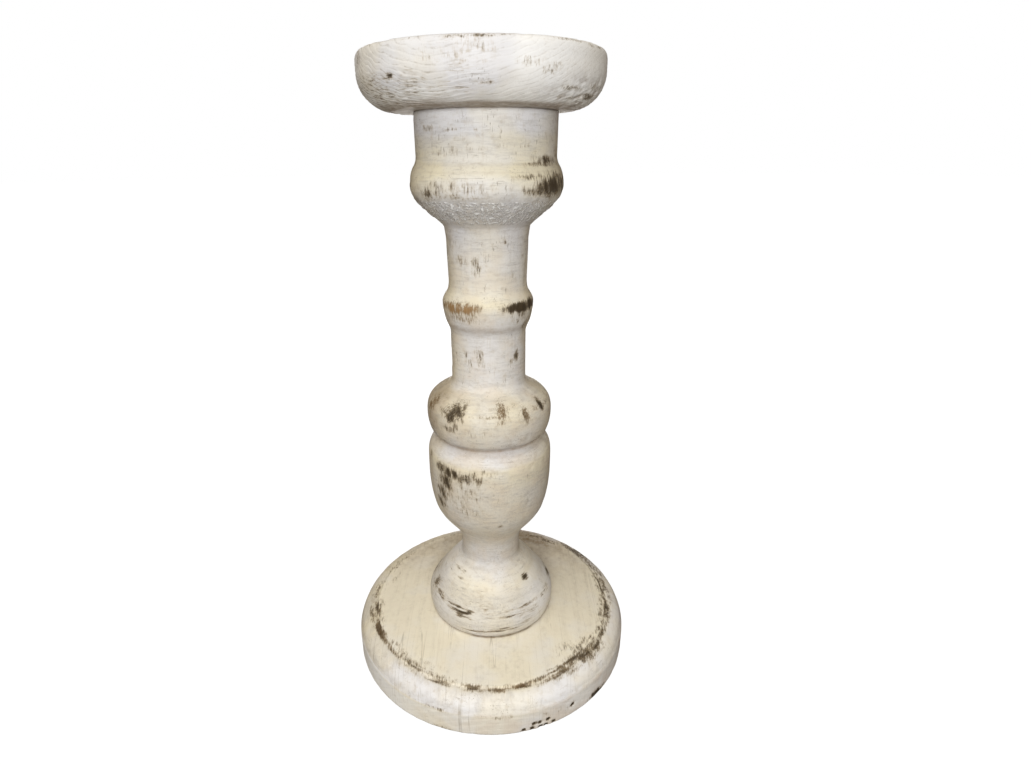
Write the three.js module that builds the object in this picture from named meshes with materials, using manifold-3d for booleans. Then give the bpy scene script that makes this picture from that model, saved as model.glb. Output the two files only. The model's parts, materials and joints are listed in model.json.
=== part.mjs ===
// Turned wooden candlestick: a base board, a spindle and a dished candle plate, held together by
// a screw from below and a glued dowel above, standing on four felt pads.
// Millimetres, +Z up, origin at the centre of the footprint, on the surface that it stands on.

import * as THREE from 'three';
import { mergeVertices } from 'three/addons/utils/BufferGeometryUtils.js';
import Module from 'manifold-3d';

const wasm = await Module();
wasm.setup();

// Driving dimensions
const TOTAL_HEIGHT = 305;
const GAP = 0.3; // clearance between a piece and the hole that holds it

const PAD_THICKNESS = 1.5;
const PAD_RADIUS = 10;
const PAD_CIRCLE_RADIUS = 58;
const PAD_COUNT = 4;

const BASE_RADIUS = 76;
const BASE_TOP = 22; // level of the flat top of the base board
const BASE_BAND_TOP = 13.5; // top of the plain band below the ovolo
const BASE_ARRIS_RADIUS = 66.8; // edge of the flat top, where the ovolo starts

const SPINDLE_TOP = 282.75; // level of the joint between the spindle and the plate
const BALL_RADIUS = 35.2;
const BALL_FOOT_RADIUS = 33.4;
const LOWER_NECK_RADIUS = 16;
const CUP_RADIUS = 32.2;
const KNOB_RADIUS = 31.8;
const MIDDLE_NECK_RADIUS = 18.5;
const BEAD_RADIUS = 22.1;
const UPPER_NECK_RADIUS = 19.1;
const BULB_RADIUS = 34.95;
const DRUM_RADIUS = 31.8;

const PLATE_RADIUS = 53.1;
const PLATE_OFFSET_X = -1.6; // the plate was fixed slightly off the spindle's axis
const RIM_INNER_RADIUS = 46;
const DISH_DEPTH = 5;

const TENON_RADIUS = 11;
const TENON_LENGTH = 8;
const SCREW_RADIUS = 2.5;
const SCREW_LENGTH = 50;
const SCREW_HEAD_RADIUS = 4.8;
const SCREW_HEAD_HEIGHT = 3.2;
const COUNTERBORE_RADIUS = 8;
const COUNTERBORE_DEPTH = 7;
const WASHER_RADIUS = 7;
const WASHER_THICKNESS = 1.2;
const DOWEL_RADIUS = 5;
const DOWEL_LENGTH = 28;
const DOWEL_DEPTH_IN_PLATE = 13;

const BOARD_SIDES = 48;
const SPINDLE_SIDES = 32;
const SMALL_SIDES = 16;

// Finishes
const paint = (color) => new THREE.MeshStandardMaterial({ color, roughness: 0.72, metalness: 0 });
const plateFinish = paint(0xddd9cf);
const spindleFinish = paint(0xdcd3c0);
const baseFinish = paint(0xe0d6bb);
const dowelFinish = new THREE.MeshStandardMaterial({ color: 0xcfa873, roughness: 0.8, metalness: 0 });
const steelFinish = new THREE.MeshStandardMaterial({ color: 0xb9b6a8, roughness: 0.38, metalness: 0.9 });
const feltFinish = new THREE.MeshStandardMaterial({ color: 0x6a5a48, roughness: 1, metalness: 0 });

function node(name, geometry, material) {
  const mesh = new THREE.Mesh(geometry, material);
  mesh.name = name;
  return mesh;
}

// Turns an outline, drawn as x = radius and y = level, about the vertical axis.
function turned(outline, sides, curveSteps = 4) {
  const points = [];
  for (const point of outline.getPoints(curveSteps)) {
    const last = points[points.length - 1];
    if (!last || last.distanceTo(point) > 1e-4) points.push(point);
  }
  return new THREE.LatheGeometry(points, sides).rotateX(Math.PI / 2);
}

// A closed outline of straight stretches, for plain rings and pins.
function straightOutline(corners) {
  const outline = new THREE.Path();
  outline.moveTo(...corners[0]);
  for (const corner of corners.slice(1)) outline.lineTo(...corner);
  return outline;
}

// Joins shared vertices and drops the empty triangles that a turned shape has on its axis.
function toSolid(geometry) {
  const bare = geometry.clone();
  bare.deleteAttribute('normal');
  bare.deleteAttribute('uv');
  const merged = mergeVertices(bare, 1e-4);
  const corners = merged.index.array;
  const triangles = [];
  for (let i = 0; i < corners.length; i += 3) {
    const [a, b, c] = corners.slice(i, i + 3);
    if (a !== b && b !== c && c !== a) triangles.push(a, b, c);
  }
  return new wasm.Manifold(
    new wasm.Mesh({
      numProp: 3,
      vertProperties: merged.attributes.position.array,
      triVerts: new Uint32Array(triangles),
    }),
  );
}

function toGeometry(solid) {
  const mesh = solid.getMesh();
  const geometry = new THREE.BufferGeometry();
  geometry.setAttribute('position', new THREE.BufferAttribute(mesh.vertProperties, 3));
  geometry.setIndex(new THREE.BufferAttribute(mesh.triVerts, 1));
  geometry.computeVertexNormals();
  return geometry;
}

// Base board: flat top, an ovolo edge between two small quirks, a plain band, and below it the
// counterbore, the screw's clearance hole and the mortise for the spindle's tenon.
function baseDisc() {
  const bottom = PAD_THICKNESS;
  const counterboreTop = bottom + COUNTERBORE_DEPTH;
  const mortiseFloor = BASE_TOP - TENON_LENGTH - GAP;
  const edgeBreak = 1;
  const quirk = 0.7;
  const outline = new THREE.Path();
  outline.moveTo(SCREW_RADIUS + GAP, counterboreTop);
  outline.lineTo(COUNTERBORE_RADIUS, counterboreTop);
  outline.lineTo(COUNTERBORE_RADIUS, bottom);
  outline.lineTo(BASE_RADIUS - edgeBreak, bottom);
  outline.quadraticCurveTo(BASE_RADIUS, bottom, BASE_RADIUS, bottom + edgeBreak);
  outline.lineTo(BASE_RADIUS, BASE_BAND_TOP);
  outline.lineTo(BASE_RADIUS - quirk, BASE_BAND_TOP + quirk / 2);
  outline.absellipse(
    BASE_ARRIS_RADIUS,
    BASE_BAND_TOP + quirk / 2,
    BASE_RADIUS - quirk - BASE_ARRIS_RADIUS,
    BASE_TOP - quirk - BASE_BAND_TOP - quirk / 2,
    0,
    Math.PI / 2,
  );
  outline.lineTo(BASE_ARRIS_RADIUS - quirk, BASE_TOP);
  outline.lineTo(TENON_RADIUS + GAP, BASE_TOP);
  outline.lineTo(TENON_RADIUS + GAP, mortiseFloor);
  outline.lineTo(SCREW_RADIUS + GAP, mortiseFloor);
  outline.lineTo(SCREW_RADIUS + GAP, counterboreTop);
  return turned(outline, BOARD_SIDES);
}

// Spindle, from the tenon up: ball, lower neck, cup, groove, knob, middle neck, bead, upper neck,
// bulb and drum, with the screw's pilot hole below and the dowel's hole above.
function spindle() {
  const tenonFoot = BASE_TOP - TENON_LENGTH;
  const pilotRadius = SCREW_RADIUS + GAP;
  const pilotTop = PAD_THICKNESS + COUNTERBORE_DEPTH - WASHER_THICKNESS + SCREW_LENGTH + GAP;
  const dowelHoleRadius = DOWEL_RADIUS + GAP;
  const dowelHoleFloor = SPINDLE_TOP + DOWEL_DEPTH_IN_PLATE - DOWEL_LENGTH - GAP;
  const outline = new THREE.Path();
  outline.moveTo(0, pilotTop);
  outline.lineTo(pilotRadius, pilotTop - 2);
  outline.lineTo(pilotRadius, tenonFoot);
  outline.lineTo(TENON_RADIUS, tenonFoot);
  outline.lineTo(TENON_RADIUS, BASE_TOP);
  // ball
  outline.lineTo(BALL_FOOT_RADIUS, BASE_TOP);
  outline.quadraticCurveTo(BALL_RADIUS, 25.5, BALL_RADIUS, 30);
  outline.bezierCurveTo(BALL_RADIUS, 35.5, 31.6, 38.5, 28, 43.2);
  outline.bezierCurveTo(24.5, 47.9, 21.6, 52.8, LOWER_NECK_RADIUS + 1, 54.6);
  // lower neck
  outline.quadraticCurveTo(LOWER_NECK_RADIUS, 55.2, LOWER_NECK_RADIUS, 57);
  outline.lineTo(LOWER_NECK_RADIUS, 66);
  // cup
  outline.quadraticCurveTo(LOWER_NECK_RADIUS + 1.2, 71, 20.4, 75.6);
  outline.bezierCurveTo(23.2, 79.4, 28.6, 84.6, 30.1, 92);
  outline.bezierCurveTo(31.3, 96.5, CUP_RADIUS, 103, CUP_RADIUS, 112);
  outline.lineTo(CUP_RADIUS, 118.5);
  outline.quadraticCurveTo(32.2, 124, 29.8, 127);
  // groove
  outline.lineTo(27.2, 128.6);
  outline.quadraticCurveTo(26.6, 129.6, 27.2, 130.8);
  // knob
  outline.lineTo(29.8, 132.9);
  outline.bezierCurveTo(31.4, 136.5, KNOB_RADIUS, 139.5, KNOB_RADIUS, 143.4);
  outline.bezierCurveTo(KNOB_RADIUS, 150.5, 28.5, 153.5, 22, 156.6);
  outline.quadraticCurveTo(MIDDLE_NECK_RADIUS, 158.4, MIDDLE_NECK_RADIUS, 162);
  // middle neck
  outline.lineTo(MIDDLE_NECK_RADIUS, 184.5);
  // bead
  outline.quadraticCurveTo(18.8, 186.5, 20.3, 189.6);
  outline.quadraticCurveTo(21.9, 194, BEAD_RADIUS, 199.6);
  outline.quadraticCurveTo(21.6, 201.6, 19.6, 204.4);
  // upper neck
  outline.quadraticCurveTo(18.7, 206.4, 18.7, 210);
  outline.quadraticCurveTo(UPPER_NECK_RADIUS, 218, 19.3, 229);
  outline.lineTo(20.1, 234.6);
  // bulb
  outline.bezierCurveTo(24, 238.8, BULB_RADIUS, 244.4, BULB_RADIUS, 252.4);
  outline.quadraticCurveTo(BULB_RADIUS, 257.5, 32.9, 261.4);
  outline.quadraticCurveTo(31.6, 263.2, 31.6, 266);
  // drum
  outline.lineTo(DRUM_RADIUS, SPINDLE_TOP - 0.6);
  outline.lineTo(DRUM_RADIUS - 0.6, SPINDLE_TOP);
  outline.lineTo(dowelHoleRadius, SPINDLE_TOP);
  outline.lineTo(dowelHoleRadius, dowelHoleFloor);
  outline.lineTo(0, dowelHoleFloor);
  return turned(outline, SPINDLE_SIDES);
}

// Candle plate: flat below, a wide rounded side, a narrow rim and a shallow flat dish. The dowel's
// blind hole is bored on the spindle's axis, not on the plate's own.
function candlePlate() {
  const sideLevel = 297;
  const flatRadius = 38;
  const rimRound = 2.4;
  const dishFloor = TOTAL_HEIGHT - DISH_DEPTH;
  const outline = new THREE.Path();
  outline.moveTo(0, SPINDLE_TOP);
  outline.lineTo(flatRadius, SPINDLE_TOP);
  outline.absellipse(
    flatRadius, sideLevel, PLATE_RADIUS - flatRadius, sideLevel - SPINDLE_TOP, -Math.PI / 2, 0,
  );
  outline.lineTo(PLATE_RADIUS, TOTAL_HEIGHT - rimRound - 2);
  outline.quadraticCurveTo(PLATE_RADIUS, TOTAL_HEIGHT, PLATE_RADIUS - rimRound, TOTAL_HEIGHT);
  outline.lineTo(RIM_INNER_RADIUS + 1.2, TOTAL_HEIGHT);
  outline.quadraticCurveTo(RIM_INNER_RADIUS, TOTAL_HEIGHT, RIM_INNER_RADIUS, TOTAL_HEIGHT - 1.2);
  outline.lineTo(RIM_INNER_RADIUS - 0.8, dishFloor);
  outline.lineTo(0, dishFloor);
  const board = turned(outline, BOARD_SIDES, 5).translate(PLATE_OFFSET_X, 0, 0);
  const holeRadius = DOWEL_RADIUS + GAP;
  const holeTop = SPINDLE_TOP + DOWEL_DEPTH_IN_PLATE + GAP;
  const belowBoard = SPINDLE_TOP - 1;
  const hole = turned(
    straightOutline([[0, belowBoard], [holeRadius, belowBoard], [holeRadius, holeTop], [0, holeTop]]),
    SMALL_SIDES,
  );
  return toGeometry(toSolid(board).subtract(toSolid(hole)));
}

// Chamfered pin that joins the plate to the spindle.
function plateDowel() {
  const foot = SPINDLE_TOP + DOWEL_DEPTH_IN_PLATE - DOWEL_LENGTH;
  const head = foot + DOWEL_LENGTH;
  const chamfer = 1;
  return turned(
    straightOutline([
      [0, foot],
      [DOWEL_RADIUS - chamfer, foot],
      [DOWEL_RADIUS, foot + chamfer],
      [DOWEL_RADIUS, head - chamfer],
      [DOWEL_RADIUS - chamfer, head],
      [0, head],
    ]),
    SMALL_SIDES,
  );
}

// Pan-head wood screw: head with a cross recess, plain shank, ringed thread and a point.
function baseScrew() {
  const seat = PAD_THICKNESS + COUNTERBORE_DEPTH - WASHER_THICKNESS;
  const headFoot = seat - SCREW_HEAD_HEIGHT;
  const point = seat + SCREW_LENGTH;
  const coreRadius = 1.7;
  const shankLength = 12;
  const pitch = 2.4;
  const outline = new THREE.Path();
  outline.moveTo(0, headFoot);
  outline.lineTo(SCREW_HEAD_RADIUS - 2, headFoot);
  outline.quadraticCurveTo(SCREW_HEAD_RADIUS, headFoot, SCREW_HEAD_RADIUS, seat - 0.8);
  outline.lineTo(SCREW_HEAD_RADIUS, seat);
  outline.lineTo(SCREW_RADIUS - GAP, seat);
  outline.lineTo(SCREW_RADIUS - GAP, seat + shankLength);
  let level = seat + shankLength + pitch / 2;
  for (; level < point - 2 * pitch; level += pitch) {
    outline.lineTo(coreRadius, level - pitch / 4);
    outline.lineTo(SCREW_RADIUS, level);
    outline.lineTo(coreRadius, level + pitch / 4);
  }
  outline.lineTo(coreRadius, level - pitch / 4);
  outline.lineTo(0, point);
  const body = toSolid(turned(outline, SMALL_SIDES));
  const slot = [4.6, 1];
  const recessDepth = 3.6;
  let recessed = body;
  for (const [x, y] of [slot, slot.slice().reverse()]) {
    const bar = new THREE.BoxGeometry(x, y, recessDepth).translate(0, 0, headFoot);
    recessed = recessed.subtract(toSolid(bar));
  }
  return toGeometry(recessed);
}

function baseWasher() {
  const top = PAD_THICKNESS + COUNTERBORE_DEPTH;
  const foot = top - WASHER_THICKNESS;
  const bore = SCREW_RADIUS + GAP;
  return turned(
    straightOutline([[bore, foot], [WASHER_RADIUS, foot], [WASHER_RADIUS, top], [bore, top], [bore, foot]]),
    SMALL_SIDES,
  );
}

function feltPad(index) {
  const angle = (index + 0.5) * (2 * Math.PI / PAD_COUNT);
  const disc = turned(
    straightOutline([[0, 0], [PAD_RADIUS, 0], [PAD_RADIUS, PAD_THICKNESS], [0, PAD_THICKNESS]]),
    SMALL_SIDES,
  );
  const pad = node(`felt_pad_${index + 1}`, disc, feltFinish);
  pad.position.set(PAD_CIRCLE_RADIUS * Math.cos(angle), PAD_CIRCLE_RADIUS * Math.sin(angle), 0);
  return pad;
}

const candlestick = new THREE.Group();
candlestick.add(node('base_disc', baseDisc(), baseFinish));
candlestick.add(node('stem_spindle', spindle(), spindleFinish));
candlestick.add(node('candle_plate', candlePlate(), plateFinish));
candlestick.add(node('plate_dowel', plateDowel(), dowelFinish));
candlestick.add(node('base_screw', baseScrew(), steelFinish));
candlestick.add(node('base_washer', baseWasher(), steelFinish));
for (let index = 0; index < PAD_COUNT; index += 1) candlestick.add(feltPad(index));

export default candlestick;
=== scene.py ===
"""Looks of a turned wooden candlestick in rubbed-through chalk paint.

The base board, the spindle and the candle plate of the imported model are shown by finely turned
meshes of nearly the same outlines, with growth-ring ridges, tool marks, dents and scratches. The
fasteners and the felt pads are rebuilt in more detail too. The pieces are measured in millimetres,
and the studio around them in metres.
"""

import json
import math

import bpy
import numpy as np
from mathutils import Euler, Matrix, Vector


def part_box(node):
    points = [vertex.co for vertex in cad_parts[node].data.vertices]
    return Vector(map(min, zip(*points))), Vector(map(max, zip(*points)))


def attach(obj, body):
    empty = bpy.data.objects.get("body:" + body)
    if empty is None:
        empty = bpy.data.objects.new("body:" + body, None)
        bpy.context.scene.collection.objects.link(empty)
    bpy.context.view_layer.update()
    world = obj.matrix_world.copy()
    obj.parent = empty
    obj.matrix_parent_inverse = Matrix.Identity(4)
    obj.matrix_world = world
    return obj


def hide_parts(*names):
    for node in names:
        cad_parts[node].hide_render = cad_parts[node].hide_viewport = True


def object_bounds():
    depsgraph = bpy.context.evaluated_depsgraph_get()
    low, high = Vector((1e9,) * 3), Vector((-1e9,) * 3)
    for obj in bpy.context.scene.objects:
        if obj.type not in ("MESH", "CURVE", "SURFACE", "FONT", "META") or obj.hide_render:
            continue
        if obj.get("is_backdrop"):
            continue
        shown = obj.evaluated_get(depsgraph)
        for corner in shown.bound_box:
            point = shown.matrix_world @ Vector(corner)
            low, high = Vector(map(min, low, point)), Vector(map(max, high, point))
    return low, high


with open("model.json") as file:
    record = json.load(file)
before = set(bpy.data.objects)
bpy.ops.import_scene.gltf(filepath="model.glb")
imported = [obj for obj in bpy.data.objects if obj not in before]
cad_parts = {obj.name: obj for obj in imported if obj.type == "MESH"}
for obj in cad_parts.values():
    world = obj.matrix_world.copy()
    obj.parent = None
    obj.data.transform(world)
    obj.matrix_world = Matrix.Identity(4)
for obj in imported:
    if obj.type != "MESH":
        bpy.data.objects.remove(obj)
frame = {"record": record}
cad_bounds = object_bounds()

MM = 0.001
BODY = "root"


def box_mm(node):
    """Lowest and highest corner of a CAD node, in millimetres."""
    low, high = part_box(node)
    return np.array(low) / MM, np.array(high) / MM


base_low, base_high = box_mm("base_disc")
spindle_low, spindle_high = box_mm("stem_spindle")
plate_low, plate_high = box_mm("candle_plate")

BASE_TOP = base_high[2]
BASE_RADIUS = base_high[0]
BAND_TOP = 13.5  # top of the plain band around the base
ARRIS_RADIUS = 66.8  # edge of the base's flat top
SPINDLE_TOP = spindle_high[2]
PLATE_RADIUS = (plate_high[0] - plate_low[0]) / 2
PLATE_CENTRE_X = (plate_high[0] + plate_low[0]) / 2
PLATE_TOP = plate_high[2]
RIM_INNER_RADIUS = 46
DISH_FLOOR = next(
    mount["pos_m"][2] / MM for mount in frame["record"]["mounts"] if mount["name"] == "candle_seat"
)
FOOT_RADIUS = 33.4  # where the spindle's ball meets the base
TENON_RADIUS = 11.0
SCREW_HOLE_RADIUS = 2.8
GAP = 0.3  # between a piece and the hole that holds it


# ------------------------------------ noise

def lattice(ix, iy, iz, seed):
    """A repeatable pseudo-random value from -1 to 1 for each whole-number point."""
    h = (ix * 374761393 + iy * 668265263 + iz * 2147483629 + seed * 1274126177) & 0xFFFFFFFF
    h = ((h ^ (h >> 13)) * 1103515245) & 0xFFFFFFFF
    h = ((h ^ (h >> 15)) * 668265263) & 0xFFFFFFFF
    return ((h ^ (h >> 16)) & 0xFFFFFF) / 0x7FFFFF - 1.0


def noise(points, size, seed=0):
    """Smooth noise from -1 to 1 at points (N, 3), with bumps about size across.

    size is a number, or one number for each axis where the bumps are long or short.
    """
    p = points / np.asarray(size, float)
    cell = np.floor(p).astype(np.int64)
    t = p - cell
    t = t * t * t * (t * (t * 6 - 15) + 10)
    total = np.zeros(len(p))
    for corner in np.ndindex(2, 2, 2):
        weight = np.prod(np.where(corner, t, 1 - t), axis=1)
        total += weight * lattice(*(cell + corner).T, seed)
    return total


def fractal(points, size, octaves, seed=0):
    """Noise with finer bumps added, each half the size and half the height of the last."""
    total, height, reach = np.zeros(len(points)), 1.0, 0.0
    for octave in range(octaves):
        total += height * noise(points * 2**octave, size, seed + octave)
        reach += height
        height /= 2
    return total / reach


def smoothstep(low, high, value):
    t = np.clip((value - low) / (high - low), 0, 1)
    return t * t * (3 - 2 * t)


# ------------------------------------ outlines

class Outline:
    """A turning profile drawn as (radius, level), with its points kept about a step apart."""

    step = 0.2

    def __init__(self, radius, level):
        self.points = [np.array([radius, level], float)]

    def _add(self, curve, length):
        steps = max(2, int(math.ceil(length / self.step)))
        for k in range(1, steps + 1):
            self.points.append(curve(k / steps))
        return self

    def line(self, radius, level):
        a, b = self.points[-1], np.array([radius, level], float)
        return self._add(lambda t: a + (b - a) * t, np.linalg.norm(b - a))

    def bend(self, *controls):
        """A quadratic or cubic curve through its control points to its last one."""
        fixed = [self.points[-1]] + [np.array(c, float) for c in controls]
        length = sum(np.linalg.norm(b - a) for a, b in zip(fixed, fixed[1:]))

        def curve(t):
            chain = fixed
            while len(chain) > 1:
                chain = [a + (b - a) * t for a, b in zip(chain, chain[1:])]
            return chain[0]

        return self._add(curve, length)

    def arc(self, centre, radii, start, end):
        """An elliptical arc about centre, from angle start to end in degrees, 0 outwards."""
        c, r = np.array(centre, float), np.array(radii, float)
        a, b = math.radians(start), math.radians(end)
        place = lambda angle: c + r * [math.cos(angle), math.sin(angle)]
        self.line(*place(a))
        return self._add(lambda t: place(a + (b - a) * t), abs(b - a) * max(radii))


def resample(points, rows, density):
    """rows points along the outline, closer together where density(points) is high."""
    points = np.array(points)
    span = np.linalg.norm(np.diff(points, axis=0), axis=1)
    middle = (points[1:] + points[:-1]) / 2
    cost = np.concatenate([[0], np.cumsum(span * density(middle))])
    wanted = np.linspace(0, cost[-1], rows)
    return np.stack([np.interp(wanted, cost, points[:, k]) for k in (0, 1)], axis=1)


# ------------------------------------ turned meshes

def add_object(name, data):
    added = bpy.data.objects.new(name, data)
    bpy.context.scene.collection.objects.link(added)
    return added


class Turning:
    """A piece turned about a vertical axis, as a grid of points that can be carved in and out.

    azimuth is in degrees from the front (-Y) towards the right (+X). A closed outline makes a
    ring. shift gives each row of the outline a sideways offset, for a hole off the axis.
    """

    def __init__(self, outline, rows, columns, density=None, centre_x=0.0, shift=None):
        profile = resample(outline.points, rows, density or (lambda p: np.ones(len(p))))
        self.closed = bool(np.allclose(profile[0], profile[-1]))
        if self.closed:
            profile = profile[:-1]
        tangent = np.roll(profile, -1, 0) - np.roll(profile, 1, 0)
        if not self.closed:
            tangent[0], tangent[-1] = profile[1] - profile[0], profile[-1] - profile[-2]
        tangent /= np.linalg.norm(tangent, axis=1)[:, None]
        self.rows, self.columns = len(profile), columns
        turn = np.arange(columns) * 2 * math.pi / columns
        along = np.repeat(profile, columns, axis=0)
        angle = np.tile(turn, self.rows)
        side = np.repeat(shift(profile) if shift else np.zeros(self.rows), columns)
        self.radius, self.level = along[:, 0], along[:, 1]
        self.azimuth = (np.degrees(angle) + 180) % 360 - 180
        self.out = np.stack([np.sin(angle), -np.cos(angle)], axis=1)
        self.normal = np.repeat(np.stack([tangent[:, 1], -tangent[:, 0]], axis=1), columns, axis=0)
        self.points = np.column_stack(
            [self.radius[:, None] * self.out + np.stack([centre_x + side, 0 * side], 1), self.level]
        )

    @property
    def steep(self):
        """1 where the surface faces up or down, 0 where it faces sideways."""
        return np.abs(self.normal[:, 1])

    def sector(self, start, stop, soft=15):
        """1 from azimuth start to stop, falling to nothing over soft degrees on each side."""
        rising = smoothstep(start - soft, start, self.azimuth)
        return rising * smoothstep(stop + soft, stop, self.azimuth)

    def fade(self, start, stop):
        """0 at level start and beyond, rising smoothly to 1 at level stop, above or below it."""
        return smoothstep(start, stop, self.level)

    def carve(self, offset):
        """Moves the surface out by offset millimetres, or in where it is negative."""
        self.points[:, :2] += self.out * (self.normal[:, 0] * offset)[:, None]
        self.points[:, 2] += self.normal[:, 1] * offset

    def build(self, name, material, **attributes):
        """The mesh object, with a float attribute on its points for each keyword."""
        rows, columns = self.rows, self.columns
        grid = np.arange(rows * columns).reshape(rows, columns)
        for end in () if self.closed else (0, -1):
            if self.radius[grid[end, 0]] < 1e-6:
                grid[end] = grid[end, 0]
        used, grid = np.unique(grid, return_inverse=True)
        grid = grid.reshape(rows, columns)
        below, above = (grid, np.roll(grid, -1, 0)) if self.closed else (grid[:-1], grid[1:])
        quads = np.stack([below, np.roll(below, -1, 1), np.roll(above, -1, 1), above], axis=-1)
        faces = [list(dict.fromkeys(face)) for face in quads.reshape(-1, 4).tolist()]
        mesh = bpy.data.meshes.new(name)
        mesh.from_pydata((self.points[used] * MM).tolist(), [], faces)
        for key, values in attributes.items():
            layer = mesh.attributes.new(key, "FLOAT", "POINT")
            layer.data.foreach_set("value", np.asarray(values, np.float32)[used])
        mesh.shade_smooth()
        mesh.materials.append(material)
        return add_object(name, mesh)


def scuffs(turning, station, table, streak=(1.6, 7.0), slant=0.35, depth=0.8):
    """How strongly each point is rubbed by the patches of a table.

    A patch is (azimuth, station, half width around, half width across, strength). station is
    the level or the radius of every point. The rubbing is streaky: streak is how long the
    streaks are around the piece and along the station, slant leans them, and depth is how much
    of the strength they take away or add.
    """
    total = np.zeros(len(station))
    feather = 1.35
    arc = np.radians(turning.azimuth) * turning.radius + slant * station
    streaks = fractal(np.column_stack([arc, station, 0 * arc]), (*streak, 1), 2, 51)
    for azimuth, where, around, across, strength in table:
        turn = (turning.azimuth - azimuth + 180) % 360 - 180
        sideways = np.radians(turn) * turning.radius / around
        away = (np.abs(sideways) ** 2.5 + np.abs((station - where) / across) ** 2.5) / feather**2.5
        total = np.maximum(total, strength * np.exp(-away))
    return total * np.clip(1 + depth * streaks, 0, 2)


def strongest(*layers):
    """The highest of the layers at each point."""
    return np.maximum.reduce(layers)


def band(station, where, width):
    """1 at a station, falling to nothing over about width on each side."""
    return np.exp(-(((station - where) / width) ** 2))


def pith_distance(points, pith, direction):
    """Distance in millimetres from the tree's centre line, wandering a little as real rings do."""
    direction = np.array(direction, float) / np.linalg.norm(direction)
    away = points - np.array(pith, float)
    away -= (away @ direction)[:, None] * direction
    wander = 1.6 * fractal(points, 38, 2, 71) + 0.35 * noise(points, 9, 73)
    return np.linalg.norm(away, axis=1) + wander


def ridge(rings, spacing):
    """Height from 0 to 1 of the hard late wood that stands proud in every growth ring."""
    t = (rings / spacing) % 1
    return np.where(t < 0.72, smoothstep(0, 0.72, t) ** 2, 1 - smoothstep(0.72, 1, t))


def seeded_scuffs(seed, count, stations, size, strength):
    """Patches like the listed ones, for the side away from the front."""
    rng = np.random.default_rng(seed)
    table = []
    for _ in range(count):
        station = rng.choice(stations) + rng.normal(0, 0.6)
        around, across = size * rng.uniform(0.4, 1.4), size * rng.uniform(0.15, 0.5)
        table.append((rng.uniform(95, 265), station, around, across, strength * rng.uniform(0.5, 1)))
    return table


# ------------------------------------ materials

def display(red, green, blue):
    """A linear colour from the 0 to 255 values that a display shows it with."""
    channel = lambda v: v / 12.92 if v <= 0.04045 else ((v + 0.055) / 1.055) ** 2.4
    return (*(channel(v / 255) for v in (red, green, blue)), 1.0)


class Shader:
    """A node material under construction. Each method adds a node and returns its output."""

    def __init__(self, name):
        self.material = bpy.data.materials.new(name)
        self.material.use_nodes = True
        self.nodes = self.material.node_tree.nodes
        self.links = self.material.node_tree.links
        self.surface = self.nodes["Principled BSDF"]
        place = self.nodes.new("ShaderNodeTexCoord").outputs["Object"]
        self.mm = self.scaled(place, (1 / MM, 1 / MM, 1 / MM))

    def put(self, socket, value):
        """Links a node's output to the socket, or gives the socket a fixed value."""
        if isinstance(value, bpy.types.NodeSocket):
            self.links.new(value, socket)
        else:
            socket.default_value = value

    def add(self, kind, output, inputs, **settings):
        """Adds a node, fills in its settings and inputs, and returns the output of that name."""
        node = self.nodes.new("ShaderNode" + kind)
        for name, value in settings.items():
            setattr(node, name, value)
        for socket, value in inputs.items():
            self.put(node.inputs[socket], value)
        return node.outputs[output]

    def scaled(self, vector, factors):
        return self.add("VectorMath", "Vector", {0: vector, 1: factors}, operation="MULTIPLY")

    def attribute(self, name):
        return self.add("Attribute", "Fac", {}, attribute_name=name)

    def noise(self, size, detail=3.0, roughness=0.5, distortion=0.0):
        """Noise from 0 to 1 with bumps of size millimetres: one number, or one for each axis."""
        size = (size, size, size) if isinstance(size, (int, float)) else size
        place = self.scaled(self.mm, tuple(1 / s for s in size))
        inputs = {"Vector": place, "Scale": 1.0, "Detail": detail, "Roughness": roughness}
        return self.add("TexNoise", "Fac", {**inputs, "Distortion": distortion})

    def math(self, operation, a, b=0.0, clamp=False):
        return self.add("Math", "Value", {0: a, 1: b}, operation=operation, use_clamp=clamp)

    def times(self, a, b):
        return self.math("MULTIPLY", a, b)

    def plus(self, a, b, clamp=False):
        return self.math("ADD", a, b, clamp)

    def minus(self, a, b):
        return self.math("SUBTRACT", a, b)

    def remap(self, value, low, high, to_low=0.0, to_high=1.0):
        """value taken smoothly from low..high to to_low..to_high, and held at the ends."""
        inputs = dict(enumerate((value, low, high, to_low, to_high)))
        return self.add("MapRange", "Result", inputs, interpolation_type="SMOOTHSTEP")

    def mix(self, factor, a, b):
        """Colour a, turning into colour b as the factor goes from 0 to 1."""
        return self.add("Mix", "Result", {"Factor": factor, "A": a, "B": b}, data_type="RGBA")

    def bump(self, height, depth_mm):
        inputs = {"Strength": 1.0, "Distance": depth_mm * MM, "Height": height}
        return self.add("Bump", "Normal", inputs)

    def finish(self, colour, roughness, normal=None, **fixed):
        """Fills in the surface, with underscores for spaces in the names of fixed sockets."""
        self.put(self.surface.inputs["Base Color"], colour)
        self.put(self.surface.inputs["Roughness"], roughness)
        if normal is not None:
            self.put(self.surface.inputs["Normal"], normal)
        for name, value in fixed.items():
            self.surface.inputs[name.replace("_", " ")].default_value = value
        return self.material


# Paint colours, as a display shows them in full light
COOL_PAINT = display(224, 222, 220)
WARM_PAINT = display(230, 220, 192)
# grey of thin paint, also used as painted shade
GREY_WASH_AND_SHADE = display(166, 159, 149)
PINK_WASH = display(206, 184, 164)
THIN_PAINT = display(180, 163, 134)
# the brown of dirt, also used as painted shade in creases, under overhangs and on far sides
DIRT_AND_SHADE = display(120, 90, 50)
WORN_DARK = display(58, 45, 25)
WORN_GREY = display(124, 108, 82)
WORN_TAN = display(152, 116, 70)
# fresh chalk white, also used as painted light and as painted glints
CHALK_AND_PAINTED_LIGHT = display(246, 244, 238)
RING_LINE = display(146, 137, 120)


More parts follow.
